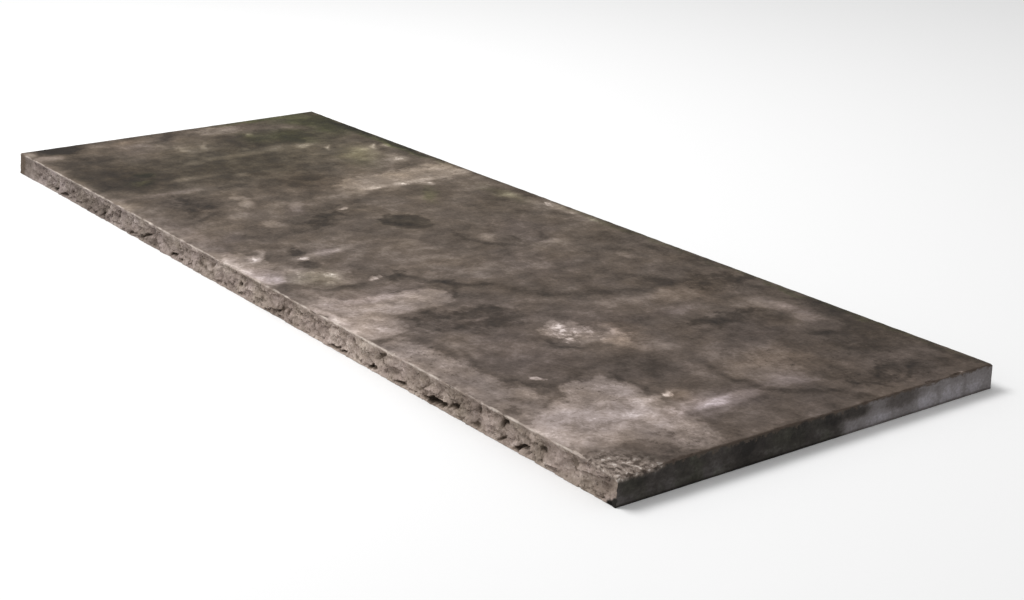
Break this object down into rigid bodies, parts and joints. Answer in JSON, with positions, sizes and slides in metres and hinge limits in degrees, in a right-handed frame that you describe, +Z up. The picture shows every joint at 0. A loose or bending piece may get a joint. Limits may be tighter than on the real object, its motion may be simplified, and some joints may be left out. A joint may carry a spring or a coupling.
{
  "type": "limestone pool coping slab",
  "caption": "Rectangular limestone slab with a rough rock-faced long edge, laid as the walked-on rim of a pool.",
  "frame": {"origin": "on the bed (the underside), at the middle of the slab's box", "axes": "+X along the slab, -Y out of the rock-faced edge over the water, +Y to the sawn back edge, +Z up out of the walking face"},
  "size_m": [1, 0.35, 0.0214],
  "materials": {
    "limestone": "honed and weathered, matt, with dark stains and pale cloudy patches; split rock face on the long front edge"
  },
  "bodies": {
    "root": {"coping_stone": "limestone"}
  },
  "joints": []
}
